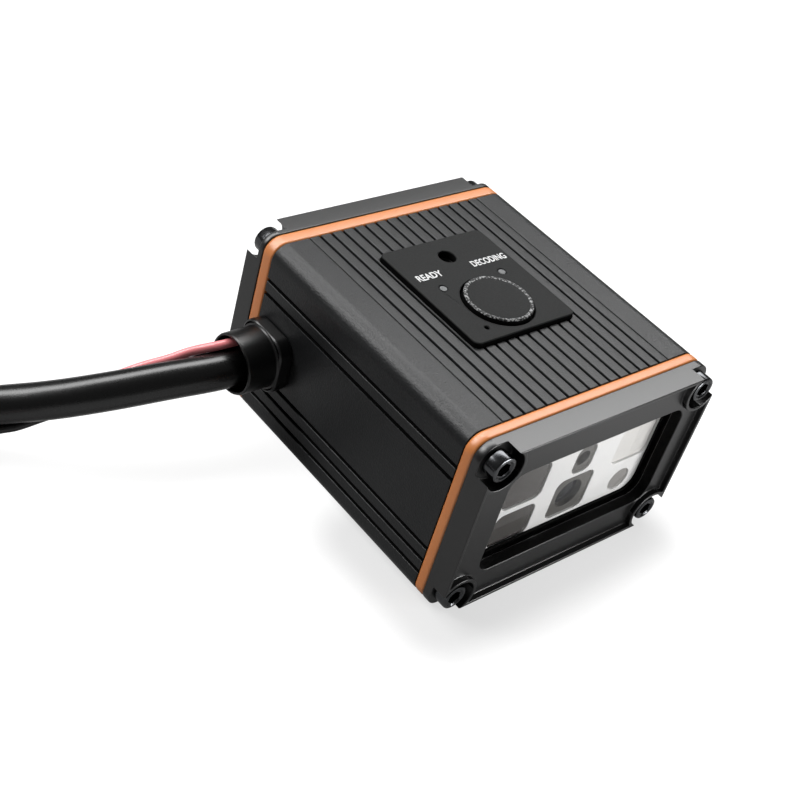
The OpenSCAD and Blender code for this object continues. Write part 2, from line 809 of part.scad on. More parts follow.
// Flat cable from the engine board's back to the main board's underside
module flex_cable() {
    engine_back = engine_board_y + engine_board_t;
    color("#b07a2a") translate([camera_x - flex_w / 2, engine_back, board_base]) union() {
        translate([0, 0, -flex_drop]) cube([flex_w, flex_t, flex_drop]);
        translate([0, 0, -flex_t]) cube([flex_w, board_gap + flex_run, flex_t]);
    }
}

module cable_header() {
    color("#e6e2d4") translate([-cavity_half + header_in, gland_y - header_l / 2, board_base - header_h])
        cube([header_w, header_l, header_h]);
}

// Bundle of the cable's cores and the two leads, run up to the header
module inner_harness() {
    header_x = -cavity_half + header_in;
    bundle_low = cable_z - cable_d / 2;
    bundle_high = red_z + lead_d / 2;
    color("#40413f") hull() {
        translate([cord_inner_x, cable_y - cable_d / 2, bundle_low])
            cube([harness_t, black_y - cable_y + cable_d / 2 + lead_d / 2, bundle_high - bundle_low]);
        translate([header_x - harness_t, gland_y - header_l / 2 + gap, board_base - header_h + gap])
            cube([harness_t, header_l - 2 * gap, header_h - 4 * gap]);
    }
}

// Gland and cords

module gland_axis() {
    translate([0, gland_y, gland_z]) rotate([0, 90, 0]) children();
}

// Flanged collar with a wide mouth; its neck passes the cable and the two leads
module gland() {
    color("#0f0f10") difference() {
        union() {
            translate([gland_x - flange_t, gland_y, gland_z]) rotate([90, 0, 90])
                linear_extrude(flange_t) rounded_plate(flange_w, flange_w, flange_r);
            translate([mouth_x, 0, 0]) gland_axis() cylinder(h = collar_l + flange_t, r = collar_d / 2);
            translate([gland_x - cut, 0, 0]) gland_axis() cylinder(h = neck_l + cut, r = neck_d / 2);
        }
        translate([mouth_x - cut, 0, 0]) gland_axis()
            cylinder(h = mouth_floor_x - mouth_x + cut, r = collar_bore_r);
        translate([mouth_x, cable_y, cable_z]) rotate([0, 90, 0])
            cylinder(h = cord_inner_x - mouth_x + cut, r = cable_d / 2 + gap / 2);
        for (p = [[red_y, red_z], [black_y, black_z]])
            translate([mouth_x, p[0], p[1]]) rotate([0, 90, 0])
                cylinder(h = cord_inner_x - mouth_x + cut, r = lead_d / 2 + gap / 2);
    }
}

module gland_nut() {
    color("#161617") translate([gland_x + wall, 0, 0]) gland_axis() difference() {
        rotate([0, 0, 30]) cylinder(h = nut_t, r = nut_af / sqrt(3), $fn = 6);
        translate([0, 0, -cut]) cylinder(h = nut_t + 2 * cut, r = neck_d / 2 + thread_gap);
    }
}

// Smooth curve through a route's points, with a number of steps between each pair
function route_point(p, i) = p[min(max(i, 0), len(p) - 1)];
function curve_point(p, i, t) =
    let (a = route_point(p, i - 1), b = p[i], c = p[i + 1], d = route_point(p, i + 2))
    0.5 * (2 * b + (c - a) * t + (2 * a - 5 * b + 4 * c - d) * t * t + (3 * b - a - 3 * c + d) * t * t * t);
function curve(p, steps) = [
    for (i = [0:len(p) - 2]) for (k = [0:steps - 1]) curve_point(p, i, k / steps),
    p[len(p) - 1]
];
function unit(v) = v / norm(v);
function tangent(p, i) = unit(route_point(p, i + 1) - route_point(p, i - 1));
function ring(centre, along, r, sides) =
    let (across = unit(cross(along, [0, 0, 1])), up = cross(across, along))
    [for (k = [0:sides - 1]) centre + r * (cos(360 * k / sides) * across + sin(360 * k / sides) * up)];

// Closed round tube through a route, as rings joined by flat faces
module tube(route, d, sides, steps) {
    path = curve(route, steps);
    last = len(path) - 1;
    rings = [for (i = [0:last]) each ring(path[i], tangent(path, i), d / 2, sides)];
    walls = [
        for (i = [0:last - 1]) for (k = [0:sides - 1])
            let (n = (k + 1) % sides)
            [i * sides + k, i * sides + n, (i + 1) * sides + n, (i + 1) * sides + k]
    ];
    start_face = [for (k = [sides - 1:-1:0]) k];
    end_face = [for (k = [0:sides - 1]) last * sides + k];
    polyhedron(points = rings, faces = concat([start_face], walls, [end_face]));
}

module cable() {
    color("#0c0c0c") tube(cable_route, cable_d, 12, 1);
}

module cable_tail() {
    color("#0c0c0c") tube(tail_route, cable_d, 12, 1);
}

module red_lead() {
    color("#c8323a") tube(red_route, lead_d, 8, 2);
}

module black_lead() {
    color("#0c0c0c") tube(black_route, lead_d, 8, 2);
}

// Stripped and tinned ends that carry on from the leads
module lead_tips() {
    color("#c9ccd0") for (route = [red_route, black_route]) {
        last = len(route) - 1;
        along = unit(route[last] - curve_point(route, last - 1, 0.5));
        translate(route[last]) rotate([0, 90, atan2(along[1], along[0])]) cylinder(h = tip_l, r = tip_d / 2);
    }
}

module cable_coil() {
    color("#0c0c0c") translate([coil_centre[0], coil_centre[1], coil_base + coil_band_h / 2])
        rotate_extrude() translate([coil_d / 2, 0])
            rounded_plate(coil_band_w, coil_band_h, cable_d / 2);
}

// Strap round the coil's band, with its head on the outside
module cable_tie() {
    inner_w = coil_band_w + 2 * tie_gap;
    inner_h = coil_band_h + 2 * tie_gap;
    color("#121212") translate([coil_centre[0], coil_centre[1], coil_base + coil_band_h / 2])
        rotate([0, 0, tie_angle]) translate([0, -coil_d / 2, 0]) union() {
        difference() {
            cube([tie_w, inner_w + 2 * tie_t, inner_h + 2 * (tie_t - tie_gap)], center = true);
            cube([tie_w + 2 * cut, inner_w, inner_h - 2 * tie_gap], center = true);
        }
        translate([0, -(inner_w / 2 + tie_t + tie_head / 2), 0])
            cube([tie_w + tie_t, tie_head, tie_head], center = true);
    }
}

// Plug: its overmould, with the metal shell let into its front
module usb_body() {
    color("#101010") translate([plug_centre[0], plug_centre[1], plug_z]) facing_front() difference() {
        union() {
            cylinder(h = usb_neck_l, r = usb_neck_d / 2);
            translate([0, 0, usb_neck_l]) linear_extrude(usb_body_l)
                rounded_plate(usb_body_w, usb_body_h, usb_body_r);
        }
        translate([0, 0, usb_neck_l + usb_body_l - usb_root_l]) linear_extrude(usb_root_l + cut)
            square([usb_shell_w + 2 * gap, usb_shell_h + 2 * gap], center = true);
    }
}

module usb_shell() {
    mouth_w = usb_shell_w - 2 * usb_shell_wall;
    mouth_h = usb_shell_h - 2 * usb_shell_wall;
    shell_z = usb_neck_l + usb_body_l - usb_root_l + gap;
    color("#c4c7ca") translate([plug_centre[0], plug_centre[1], plug_z]) facing_front() difference() {
        translate([-usb_shell_w / 2, -usb_shell_h / 2, shell_z])
            cube([usb_shell_w, usb_shell_h, usb_shell_l + usb_root_l - gap]);
        translate([-mouth_w / 2, -mouth_h / 2, shell_z + usb_shell_wall])
            cube([mouth_w, mouth_h, usb_shell_l + usb_root_l]);
    }
}

module usb_insert() {
    mouth_w = usb_shell_w - 2 * usb_shell_wall;
    mouth_h = usb_shell_h - 2 * usb_shell_wall;
    insert_z = usb_neck_l + usb_body_l - usb_root_l + gap + usb_shell_wall;
    color("#e9e9e6") translate([plug_centre[0], plug_centre[1], plug_z]) facing_front()
        translate([-mouth_w / 2, -mouth_h / 2, insert_z])
            cube([mouth_w, usb_insert_h, usb_shell_l + usb_root_l - usb_shell_wall - 6 * gap]);
}

sleeve();
front_cap();
rear_cap();
front_gasket();
rear_gasket();
front_screws();
rear_screws();
window_glass();
window_seal();
light_block();
led_lenses();
sensor_lens();
camera_holder();
camera_lens();
aimer();
engine_board();
image_sensor();
led_chips();
engine_screws();
top_panel();
push_button();
light_pipes();
main_board();
tact_switch();
switch_plunger();
status_leds();
buzzer();
buzzer_seal();
flex_cable();
cable_header();
inner_harness();
gland();
gland_nut();
cable();
cable_coil();
cable_tie();
cable_tail();
usb_body();
usb_shell();
usb_insert();
red_lead();
black_lead();
lead_tips();
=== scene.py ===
# %% [markdown]
# # A fixed barcode reader
# The reader is a small black box that sits beside a conveyor and reads codes through its window. Its solids
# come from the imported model. This lesson dresses them: edges get the small rounding that real ones have,
# each surface gets its finish, and the cable gets its full length. All pieces are in metres, in one frame.
# Small sizes are written in millimetres and multiplied by MM.

# %% Load the frame
import json
import math

import bpy
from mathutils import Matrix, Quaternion, Vector


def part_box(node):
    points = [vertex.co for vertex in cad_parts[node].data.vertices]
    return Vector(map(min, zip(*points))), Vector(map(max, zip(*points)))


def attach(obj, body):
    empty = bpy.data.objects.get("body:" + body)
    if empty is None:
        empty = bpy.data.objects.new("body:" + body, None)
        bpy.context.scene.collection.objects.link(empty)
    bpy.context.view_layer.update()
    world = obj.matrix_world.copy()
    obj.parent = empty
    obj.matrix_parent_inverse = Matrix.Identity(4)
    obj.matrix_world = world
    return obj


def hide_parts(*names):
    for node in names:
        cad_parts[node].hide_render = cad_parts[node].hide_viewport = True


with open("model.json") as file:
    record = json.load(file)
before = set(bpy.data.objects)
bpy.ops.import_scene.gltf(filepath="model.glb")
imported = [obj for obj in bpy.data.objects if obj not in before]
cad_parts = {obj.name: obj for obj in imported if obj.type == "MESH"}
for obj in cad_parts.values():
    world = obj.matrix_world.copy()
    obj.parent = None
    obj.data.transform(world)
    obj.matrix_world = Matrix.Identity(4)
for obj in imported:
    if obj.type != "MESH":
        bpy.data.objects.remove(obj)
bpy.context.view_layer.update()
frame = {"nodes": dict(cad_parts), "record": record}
nodes = frame["nodes"]
MM = 0.001


def box_mm(node_name):
    """A node's lowest and highest corners, in millimetres."""
    return tuple(Vector(corner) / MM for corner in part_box(node_name))


# %% [markdown]
# ## Camera
# The view was solved from the housing's straight edges, so the camera is told by what a photographer would
# note: the point it aims at, how far away it stands, its bearing, its height angle and its tilt.

# %% Camera
IMAGE_SIDE_PX = 800
FOCAL_PX = 1437.5
SENSOR_MM = 36.0
AIM = Vector((-13.31, -0.20, 16.0)) * MM
CAMERA_DISTANCE = 227.6 * MM
CAMERA_AZIMUTH = math.radians(-50.22)
CAMERA_ELEVATION = math.radians(38.08)
CAMERA_ROLL = math.radians(17.59)
NEAREST_SEEN = 10 * MM
FARTHEST_SEEN = 20.0

towards_camera = Vector((
    math.sin(CAMERA_AZIMUTH) * math.cos(CAMERA_ELEVATION),
    -math.cos(CAMERA_AZIMUTH) * math.cos(CAMERA_ELEVATION),
    math.sin(CAMERA_ELEVATION),
))
bpy.ops.object.camera_add(location=AIM + towards_camera * CAMERA_DISTANCE)
camera = bpy.context.object
camera.name = "camera"
camera.rotation_mode = "QUATERNION"
camera.rotation_quaternion = (
    (-towards_camera).to_track_quat("-Z", "Y") @ Quaternion((0, 0, 1), CAMERA_ROLL)
)
camera.data.sensor_width = SENSOR_MM
camera.data.lens = FOCAL_PX / IMAGE_SIDE_PX * SENSOR_MM
camera.data.clip_start = NEAREST_SEEN
camera.data.clip_end = FARTHEST_SEEN
bpy.context.scene.camera = camera
print("camera lens:", round(camera.data.lens, 2), "mm")


# %% [markdown]
# ## Helpers for materials
# Colours are written as sRGB hex values, as a colour picker shows them, and one function turns them to the
# linear values that shaders use. A second function adds a node, with its settings and its inputs. An input
# is either a value or the output of a node that was added before.

# %% Helpers for materials
WHITE = (1, 1, 1, 1)


def linear(code):
    """The linear RGBA colour of an sRGB hex value such as #1c1d1f."""
    parts = [int(code[i:i + 2], 16) / 255 for i in (1, 3, 5)]
    return tuple(c / 12.92 if c <= 0.04045 else ((c + 0.055) / 1.055) ** 2.4 for c in parts) + (1.0,)


def add(tree, kind, inputs=None, **settings):
    """Adds a shader node, sets its own settings, and fills its named inputs with values or outputs."""
    made = tree.nodes.new("ShaderNode" + kind)
    for name, value in settings.items():
        setattr(made, name, value)
    for name, value in (inputs or {}).items():
        if isinstance(value, bpy.types.NodeSocket):
            tree.links.new(value, made.inputs[name])
        else:
            made.inputs[name].default_value = value
    return made


def new_material(name):
    """An empty material: itself, and its node tree."""
    made = bpy.data.materials.new(name)
    made.use_nodes = True
    made.node_tree.nodes.clear()
    return made, made.node_tree


def per_mm(size):
    """The texture scale at which a feature is this many millimetres across."""
    return 1.0 / (size * MM)


print("helpers ready; #808080 is", round(linear("#808080")[0], 3), "in linear light")


# %% [markdown]
# ## Paper sweep
# The reader stands on a pale paper sweep, which is one large plane. For rays from the camera, from mirrors
# and through glass the paper also glows, so it reads as white and adds hardly any light to the reader, and
# it keeps the shadow. Round the foot of the window, where the shadow is, it glows less. How far a place is
# from there is worked out by vector nodes, as the distance to a rectangle, so the edge is a smooth one.

# %% Paper sweep
scene = bpy.context.scene
scene.view_settings.view_transform = "Standard"

FLOOR_SIDE = 6.0
FLOOR_GREY = "#868686"
FLOOR_ROUGHNESS = 0.9
FLOOR_GLOW = 0.92
FLOOR_GLOW_IN_GLOSS = 0.12
SHADE_GLOW = 0.62
SHADE_CENTRE = (-2.5 * MM, -21 * MM, 0)
SHADE_HALF = (22.5 * MM, 9 * MM, 0)
SHADE_FULL = 3 * MM
SHADE_ENDS = 13 * MM
bpy.ops.mesh.primitive_plane_add(size=FLOOR_SIDE, location=(0, 0, 0))
floor = bpy.context.object
floor.name = "floor"
white_paper, tree = new_material("pale_paper_sweep")
rays = add(tree, "LightPath")
seen = add(tree, "Math", {0: rays.outputs["Is Camera Ray"], 1: rays.outputs["Is Transmission Ray"]},
           operation="ADD", use_clamp=True)
place = add(tree, "TexCoord").outputs["Object"]
from_centre = add(tree, "VectorMath", {0: place, 1: SHADE_CENTRE}, operation="SUBTRACT")
quarter = add(tree, "VectorMath", {0: from_centre.outputs[0]}, operation="ABSOLUTE")
past_edge = add(tree, "VectorMath", {0: quarter.outputs[0], 1: SHADE_HALF}, operation="SUBTRACT")
outside = add(tree, "VectorMath", {0: past_edge.outputs[0], 1: (0, 0, 0)}, operation="MAXIMUM")
away = add(tree, "VectorMath", {0: outside.outputs[0]}, operation="LENGTH")
paper_glow = add(tree, "MapRange", {
    "Value": away.outputs["Value"], "From Min": SHADE_FULL, "From Max": SHADE_ENDS,
    "To Min": SHADE_GLOW, "To Max": FLOOR_GLOW,
}, interpolation_type="SMOOTHSTEP")
direct = add(tree, "Math", {0: seen.outputs[0], 1: paper_glow.outputs[0]}, operation="MULTIPLY")
glow = add(tree, "Math", {
    0: rays.outputs["Is Glossy Ray"], 1: FLOOR_GLOW_IN_GLOSS, 2: direct.outputs[0],
}, operation="MULTIPLY_ADD")
paper = add(tree, "BsdfPrincipled", {
    "Base Color": linear(FLOOR_GREY), "Roughness": FLOOR_ROUGHNESS, "Specular IOR Level": 0.0,
    "Emission Color": WHITE, "Emission Strength": glow.outputs[0],
})
add(tree, "OutputMaterial", {"Surface": paper.outputs[0]})
floor.data.materials.append(white_paper)
print("paper sweep:", FLOOR_SIDE, "m, glow:", FLOOR_GLOW)


# %% [markdown]
# ## Room light and lamps
# A dim white room fills the shadows. A wide bank above and behind gives the top its grey sheen, a softbox
# at the left picks out the rounded edge, and a small lamp close in front of the window, a little to the
# right, lights the engine behind the glass and fades towards the left. A lamp's strength is told as
# radiance, so its face stays as bright when its size is changed.

# %% Room light and lamps
WORLD_AMBIENT = 0.1
world = bpy.data.worlds.new("studio")
scene.world = world
world.use_nodes = True
tree = world.node_tree
tree.nodes.clear()
rays = add(tree, "LightPath")
strength = add(tree, "MapRange", {
    "Value": rays.outputs["Is Camera Ray"], "To Min": WORLD_AMBIENT, "To Max": 1.0,
})
sky = add(tree, "Background", {"Color": WHITE, "Strength": strength.outputs[0]})
add(tree, "OutputWorld", {"Surface": sky.outputs[0]})


def softbox(name, place, aim, size, radiance):
    """A rectangular softbox at a place, turned to an aim; the camera doesn't see the lamp itself."""
    bpy.ops.object.light_add(type="AREA", location=place)
    lamp = bpy.context.object
    lamp.name = name
    lamp.data.shape = "RECTANGLE"
    lamp.data.size, lamp.data.size_y = size
    lamp.data.energy = radiance * math.pi * size[0] * size[1]
    lamp.visible_camera = False
    lamp.rotation_mode = "QUATERNION"
    lamp.rotation_quaternion = (Vector(aim) - Vector(place)).to_track_quat("-Z", "Y")
    return lamp


lamps = [
    softbox("overhead_bank", place=(0.104, 0.522, 0.861), aim=(-0.015, -0.073, 0.066),
            size=(2.2, 0.45), radiance=6.8),
    softbox("edge_light", place=(-0.555, 0.454, 0.545), aim=(-0.02, 0, 0.03),
            size=(0.35, 0.5), radiance=4.6),
    softbox("front_fill", place=(0.036, -0.108, 0.024), aim=(0, -0.03, 0.016),
            size=(0.05, 0.03), radiance=19.0),
]
print("lamps:", [lamp.name for lamp in lamps], "ambient:", WORLD_AMBIENT)


# %% [markdown]
# ## A grained finish
# Most surfaces here differ in the same few ways: two close colours in faint patches, a roughness, and a
# grain of some size and depth. One function makes them all, from two noise textures on Object coordinates.
# The grain of blasted, moulded and coated surfaces is about a tenth of a millimetre or finer, which is too
# fine to show in the render, so the grains here are drawn coarser, from 0.15 mm up.

# %% A grained finish
PATCH_MM = 6.0
PATCH_DETAIL = 3.0
GRAIN_DETAIL = 2.0
GRAIN_MIX = 0.6
NOISE_LOW = 0.3
NOISE_HIGH = 0.7


def grainy(name, dark, light, roughness, grain_mm, depth_mm, specular=0.5, metallic=0.0, spread=0.05):
    """A surface with faint patches of two near colours, and a grain that varies roughness and height."""
    material, tree = new_material(name)
    place = add(tree, "TexCoord").outputs["Object"]
    patches = add(tree, "TexNoise", {"Vector": place, "Scale": per_mm(PATCH_MM), "Detail": PATCH_DETAIL})
    grain = add(tree, "TexNoise", {
        "Vector": place, "Scale": per_mm(grain_mm), "Detail": GRAIN_DETAIL, "Roughness": GRAIN_MIX,
    })
    colour = add(tree, "MixRGB", {
        "Fac": patches.outputs["Fac"], "Color1": linear(dark), "Color2": linear(light),
    })
    rough = add(tree, "MapRange", {
        "Value": grain.outputs["Fac"], "From Min": NOISE_LOW, "From Max": NOISE_HIGH,
        "To Min": roughness - spread, "To Max": roughness + spread,
    })
    bump = add(tree, "Bump", {
        "Height": grain.outputs["Fac"], "Strength": 1.0, "Distance": depth_mm * MM,
    })
    shader = add(tree, "BsdfPrincipled", {
        "Base Color": colour.outputs["Color"], "Roughness": rough.outputs[0], "Metallic": metallic,
        "Specular IOR Level": specular, "Normal": bump.outputs[0],
    })
    add(tree, "OutputMaterial", {"Surface": shader.outputs[0]})
    return material


print("patches:", PATCH_MM, "mm across")


# %% [markdown]
# ## Finishes of the housing
# These are the surfaces that the eye meets first: the blasted and dyed sleeve, the smoother caps, the
# orange seals between them, the screws and the moulded panel. Most are black or nearly so, and those are
# told apart by their sheen alone, so roughness and specular level matter more than colour.

# %% Finishes of the housing
FINISH = {
    # Blasted and then dyed: a soft grey sheen towards a lamp, with the sparkle of a blasted surface.
    "black_anodised": grainy("black_anodised_aluminium", "#161718", "#1c1d1e", roughness=0.36,
                             grain_mm=0.3, depth_mm=0.045, specular=0.34),
    # Cast and coated: deeper black and smoother than the sleeve, so its chamfers shine more.
    "black_cap_coat": grainy("black_coated_zinc", "#060606", "#0a0a0a", roughness=0.32,
                             grain_mm=0.15, depth_mm=0.003, specular=0.75, spread=0.015),
    # Moulded rubber: a warm colour that pales where it faces the light.
    "orange_silicone": grainy("orange_silicone_rubber", "#cf7838", "#d88645", roughness=0.4,
                              grain_mm=0.4, depth_mm=0.010, specular=1.0),
    # Oiled after blackening: a dark metal with clear small highlights on its rims.
    "black_oxide_steel": grainy("black_oxide_steel", "#4c4d4f", "#5a5b5d", roughness=0.2,
                                grain_mm=0.25, depth_mm=0.003, metallic=1.0),
    # Spark textured in its mould: even dark grey with hardly a highlight.
    "black_moulding": grainy("black_moulded_abs", "#121313", "#171818", roughness=0.6,
                             grain_mm=0.22, depth_mm=0.010, specular=0.2),
    # Painted shade: a black with no sheen at all, put on faces that lie in shade so that they render as dark
    # as that shade.
    "painted_shade_black": grainy("painted_shade_matt_black", "#020202", "#040404", roughness=0.8,
                         grain_mm=0.3, depth_mm=0.01, specular=0.08),
    # Moulded against a polished tool: black, with a soft streak of light on its round.
    "gland_rubber": grainy("black_moulded_rubber", "#020202", "#040404", roughness=0.34,
                           grain_mm=0.25, depth_mm=0.006, specular=0.6),
    # Sanded light guides: dim grey dots when their lights are off.
    "clear_pipe": grainy("frosted_clear_acrylic", "#585a5b", "#656768", roughness=0.35,
                         grain_mm=0.3, depth_mm=0.006),
    # Screen printed: an opaque matt white.
    "white_ink": grainy("white_screen_ink", "#d5d6d6", "#e2e3e3", roughness=0.6,
                        grain_mm=0.2, depth_mm=0.004, specular=0.3),
}
print("finishes of the housing:", len(FINISH))


# %% [markdown]
# ## Finishes behind the window and on the cable
# Behind the glass sits a white light block, which spreads the light, with lenses of several tints in its
# cells. The cable and the leads have smooth extruded jackets. The plug's shell and the leads' tips are bare
# metal.

# %% Finishes behind the window and on the cable
FINISH.update({
    # Moulded white: bright and even, it shows the light that falls in.
    "grey_moulding": grainy("white_moulded_abs", "#e4e4e3", "#edeceb", roughness=0.5,
                            grain_mm=0.5, depth_mm=0.006, specular=0.4),
    # Tinted and glossy: grey plates with soft reflections.
    "smoke_lens": grainy("smoked_polycarbonate", "#423f3d", "#4e4b48", roughness=0.2,
                         grain_mm=0.6, depth_mm=0.002),
    # Frosted: nearly as white as the block, told apart by its edges.
    "frosted_lens": grainy("frosted_polycarbonate", "#d6d4d1", "#e0deda", roughness=0.35,
                           grain_mm=0.5, depth_mm=0.004),
    # Half clear: a middle grey between the two others.
    "milky_lens": grainy("milky_polycarbonate", "#8d8b88", "#999693", roughness=0.35,
                         grain_mm=0.5, depth_mm=0.004),
    # Moulded grey: a dull tube round the dark lens.
    "grey_barrel": grainy("dark_grey_moulded_abs", "#504e4b", "#5c5a56", roughness=0.4,
                          grain_mm=0.4, depth_mm=0.006, specular=0.4),
    # Polished and coated: dark blue black with sharp reflections.
    "camera_glass": grainy("coated_lens_glass", "#0a0d12", "#10141c", roughness=0.06,
                           grain_mm=2.0, depth_mm=0.0005, specular=0.7, spread=0.01),
    # Extruded smooth: black with one long highlight.
    "black_jacket": grainy("black_pvc_jacket", "#010101", "#020202", roughness=0.29,
                           grain_mm=0.4, depth_mm=0.0008, specular=0.75, spread=0.02),
    # The same jacket, dyed: a rosy red that pales in the light.
    "red_jacket": grainy("red_pvc_jacket", "#f2868a", "#f69498", roughness=0.32,
                         grain_mm=0.3, depth_mm=0.003, specular=1.0),
    # Dipped in tin: a bright uneven metal.
    "tinned_copper": grainy("tinned_copper_strand", "#b3b5b7", "#c3c5c7", roughness=0.3,
                            grain_mm=0.25, depth_mm=0.01, metallic=1.0),
    # Rolled and plated: a clean bright metal.
    "nickel_shell": grainy("nickel_plated_steel", "#b9bbbd", "#c5c7c8", roughness=0.22,
                           grain_mm=0.4, depth_mm=0.003, metallic=1.0),
})
print("finishes so far:", len(FINISH))


# %% [markdown]
# ## Finishes inside
# The boards and the small parts on them are out of sight while the caps are on. They get plain finishes of
# their kind all the same, for whoever takes the reader apart.

# %% Finishes inside
FINISH.update({
    # Zinc plated: light grey and softly metallic.
    "bright_steel": grainy("zinc_plated_steel", "#a7aaad", "#b4b7ba", roughness=0.32,
                           grain_mm=0.3, depth_mm=0.004, metallic=1.0),
    # Closed cells with a skin: dull black.
    "black_foam": grainy("black_closed_cell_foam", "#050505", "#080808", roughness=0.9,
                         grain_mm=0.3, depth_mm=0.02, specular=0.1),
    # Solder mask over copper: a glossy dark green.
    "green_board": grainy("green_solder_mask", "#123d27", "#17492f", roughness=0.35,
                          grain_mm=0.5, depth_mm=0.004),
    # Cast resin over a lamp chip: a pale waxy yellow.
    "pale_chip": grainy("pale_led_resin", "#e6dfb8", "#efe9c8", roughness=0.3,
                        grain_mm=0.4, depth_mm=0.003),
    # A thin film on copper: amber and smooth.
    "amber_film": grainy("amber_polyimide_film", "#a8681f", "#b47327", roughness=0.35,
                         grain_mm=0.5, depth_mm=0.004),
    # Moulded without dye: a warm white.
    "ivory_moulding": grainy("white_moulded_nylon", "#e0dccf", "#e9e6dc", roughness=0.5,
                             grain_mm=0.3, depth_mm=0.008, specular=0.4),
})
print("finishes so far:", len(FINISH))


# %% [markdown]
# ## Glass and a speckled bead
# The window is float glass: it lets light straight through, and both its faces mirror a little, more at a
# slant. A mix of a clear and a mirror shader does that without the noise of true refraction. The bead round
# the button has a grain in its height, and pale specks painted into its colour stand for the glints of that
# grain; between them it stays dark.

# %% Glass and a speckled bead
PANE_CLEAR = (0.98, 0.98, 0.98, 1)
PANE_ROUGHNESS = 0.03
SLANT_BLEND = 0.5
SLANT_POWER = 4.5
SPECK_MM = 0.35
SPECK_DETAIL = 1.0
SPECK_MIX = 0.5
SPECK_STARTS = 0.5
SPECK_FULL = 0.62
SPECK_RISE_MM = 0.04
BEAD_ROUGHNESS = 0.45
BEAD_SPECULAR = 0.4


def window_pane():
    """A thin clear pane: light passes it straight, and its two faces mirror a little, more at a slant."""
    material, tree = new_material("clear_float_glass")
    clear = add(tree, "BsdfTransparent", {"Color": PANE_CLEAR})
    mirror = add(tree, "BsdfAnisotropic", {"Color": WHITE, "Roughness": PANE_ROUGHNESS})
    slant = add(tree, "LayerWeight", {"Blend": SLANT_BLEND})
    share = add(tree, "Math", {0: slant.outputs["Facing"], 1: SLANT_POWER}, operation="POWER")
    pane = add(tree, "MixShader", {0: share.outputs[0], 1: clear.outputs[0], 2: mirror.outputs[0]})
    add(tree, "OutputMaterial", {"Surface": pane.outputs[0]})
    return material


def speckled(name, dark, light):
    """A bead with a grain in its height: most of it is dark, and pale specks in its colour are painted
    glints.
    """
    material, tree = new_material(name)
    place = add(tree, "TexCoord").outputs["Object"]
    grain = add(tree, "TexNoise", {
        "Vector": place, "Scale": per_mm(SPECK_MM), "Detail": SPECK_DETAIL, "Roughness": SPECK_MIX,
    })
    specks = add(tree, "MapRange", {
        "Value": grain.outputs["Fac"], "From Min": SPECK_STARTS, "From Max": SPECK_FULL,
        "To Min": 0.0, "To Max": 1.0,
    })
    colour = add(tree, "MixRGB", {
        "Fac": specks.outputs[0], "Color1": linear(dark), "Color2": linear(light),
    })
    bump = add(tree, "Bump", {
        "Height": specks.outputs[0], "Strength": 1.0, "Distance": SPECK_RISE_MM * MM,
    })
    shader = add(tree, "BsdfPrincipled", {
        "Base Color": colour.outputs["Color"], "Roughness": BEAD_ROUGHNESS,
        "Specular IOR Level": BEAD_SPECULAR, "Normal": bump.outputs[0],
    })
    add(tree, "OutputMaterial", {"Surface": shader.outputs[0]})
    return material


# Painted highlight: the pale specks stand for the glints that the bead's grain throws back.
FINISH["painted_glint_rim"] = speckled("moulded_abs_painted_glints", "#151616", "#9a9b9b")
FINISH["window_glass"] = window_pane()
print("all finishes:", len(FINISH))


# %% [markdown]
# ## Every CAD node gets its finish
# The record says which slot each node takes its finish from, so the inner boards and chips are dressed in
# one loop. The sensor's lens is milky and not smoked, so it gets its own tint. Most pieces that show are
# rebuilt further down and hide their plain solids.

# %% Every CAD node gets its finish
slot_of = {row["node"]: row["material_slot"] for row in frame["record"]["subparts"]}
for node_name, solid in nodes.items():
    for place in solid.material_slots:
        place.material = FINISH[slot_of[node_name]]
nodes["sensor_lens"].material_slots[0].material = FINISH["milky_lens"]
print("dressed nodes:", len(nodes))


# %% [markdown]
# ## Routes of the cords
# The cable leaves the gland, drops to the floor, runs to a tied coil and ends at its plug. The two leads
# leave above it and end bare on the floor. Every route is a list of points in millimetres, the same as those
# of the solids: straight out of the gland first, and then down under its own weight.

# %% Routes of the cords
CABLE_D = 6.0
LEAD_D = 1.5
GLAND_MOUTH_X = -33.0
STRAIGHT_RUN = 4
CORD_INNER_X = -19.0
CABLE_AXIS = (18.7, 14.0)
RED_AXIS = (20.75, 17.5)
BLACK_AXIS = (21.85, 16.05)


def through_gland(axis):
    """The straight first points of a cord, from inside the housing to the gland's mouth."""
    return [(x, *axis) for x in (CORD_INNER_X, GLAND_MOUTH_X + STRAIGHT_RUN, GLAND_MOUTH_X)]


cable_route = through_gland(CABLE_AXIS) + [
    (-44, 20.5, 13.6), (-53, 23.4, 12), (-59.6, 26.8, 10), (-65.3, 30.6, 8), (-72, 34.4, 6.2),
    (-81, 37.9, 4.7), (-92, 41.8, 4.1), (-107, 47.2, 4.1), (-122, 52.4, 4.1),
]
tail_route = [
    (-149, 56, 11.2), (-159.5, 52.8, 13.6), (-167.8, 47.6, 16), (-172.8, 43, 17.2), (-175, 38, 17.4),
    (-175, 36, 17.4),
]
red_route = through_gland(RED_AXIS) + [
    (-37.6, 23.2, 15.5), (-41.1, 23.9, 14.5), (-44.9, 24.9, 13.5), (-49.1, 26.1, 11.8), (-53, 27.3, 9.7),
    (-57.9, 28.9, 7), (-62.2, 30.4, 4.9), (-67, 32, 3.1), (-75, 31, 1.6), (-80.5, 26.5, 0.8),
    (-86, 18.5, 0.8), (-90.5, 9, 0.8), (-93.5, 1, 0.8),
]
black_route = through_gland(BLACK_AXIS) + [
    (-36, 23.4, 13.8), (-39.1, 23.5, 12.5), (-43, 23.6, 11.2), (-46.6, 24.1, 10.1), (-50.5, 24.8, 9),
    (-54.4, 26, 7.7), (-58.5, 27.5, 6.2), (-63.1, 28.8, 4.5), (-68.3, 29.9, 3.3), (-72.5, 25.5, 1.2),
    (-77, 20, 0.8), (-82.5, 12, 0.8), (-86.5, 3, 0.8), (-89.5, -6, 0.8),
]
